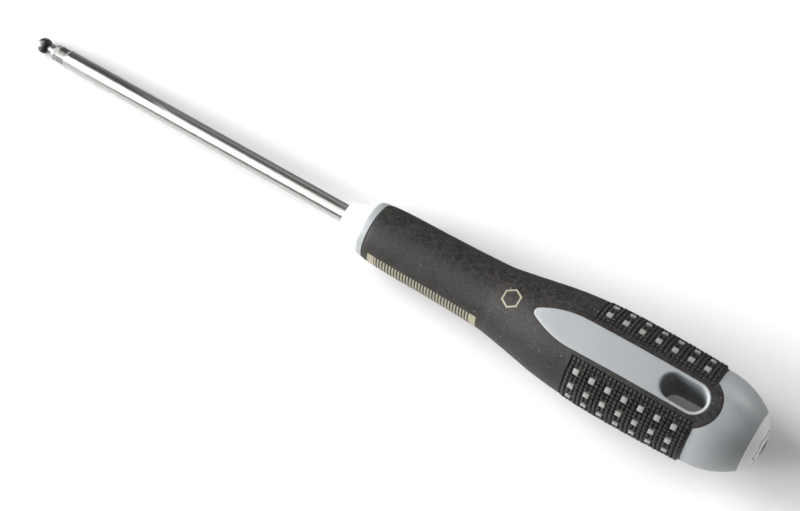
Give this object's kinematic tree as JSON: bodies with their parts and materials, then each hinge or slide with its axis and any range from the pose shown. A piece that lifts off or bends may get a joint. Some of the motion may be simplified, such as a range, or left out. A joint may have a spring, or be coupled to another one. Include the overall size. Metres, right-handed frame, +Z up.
{
  "type": "hex screwdriver",
  "caption": "Ball-end hexagon screwdriver: round steel blade with a ball hexagon tip, in a two-tone moulded handle with textured grip panels and a hanging slot, with a white nose and end cap.",
  "frame": {"origin": "middle of the tool's length and width, on the surface it lies on", "axes": "+X from the tip towards the butt, +Z up; the tool rests on its ball tip and on the lower inlay, so its own axis rises 3.6 degrees towards the butt"},
  "size_m": [0.2217, 0.0276, 0.0272],
  "materials": {
    "steel": "satin ground steel, bright along the shaft, darker at the tip",
    "white_plastic": "smooth moulded white",
    "grey_plastic": "smooth satin light grey",
    "soft_grip": "matte warm black soft plastic"
  },
  "bodies": {
    "root": {"blade": "steel", "inner_core": "white_plastic", "handle_body": "grey_plastic", "grip": "soft_grip", "end_cap": "white_plastic"}
  },
  "joints": []
}
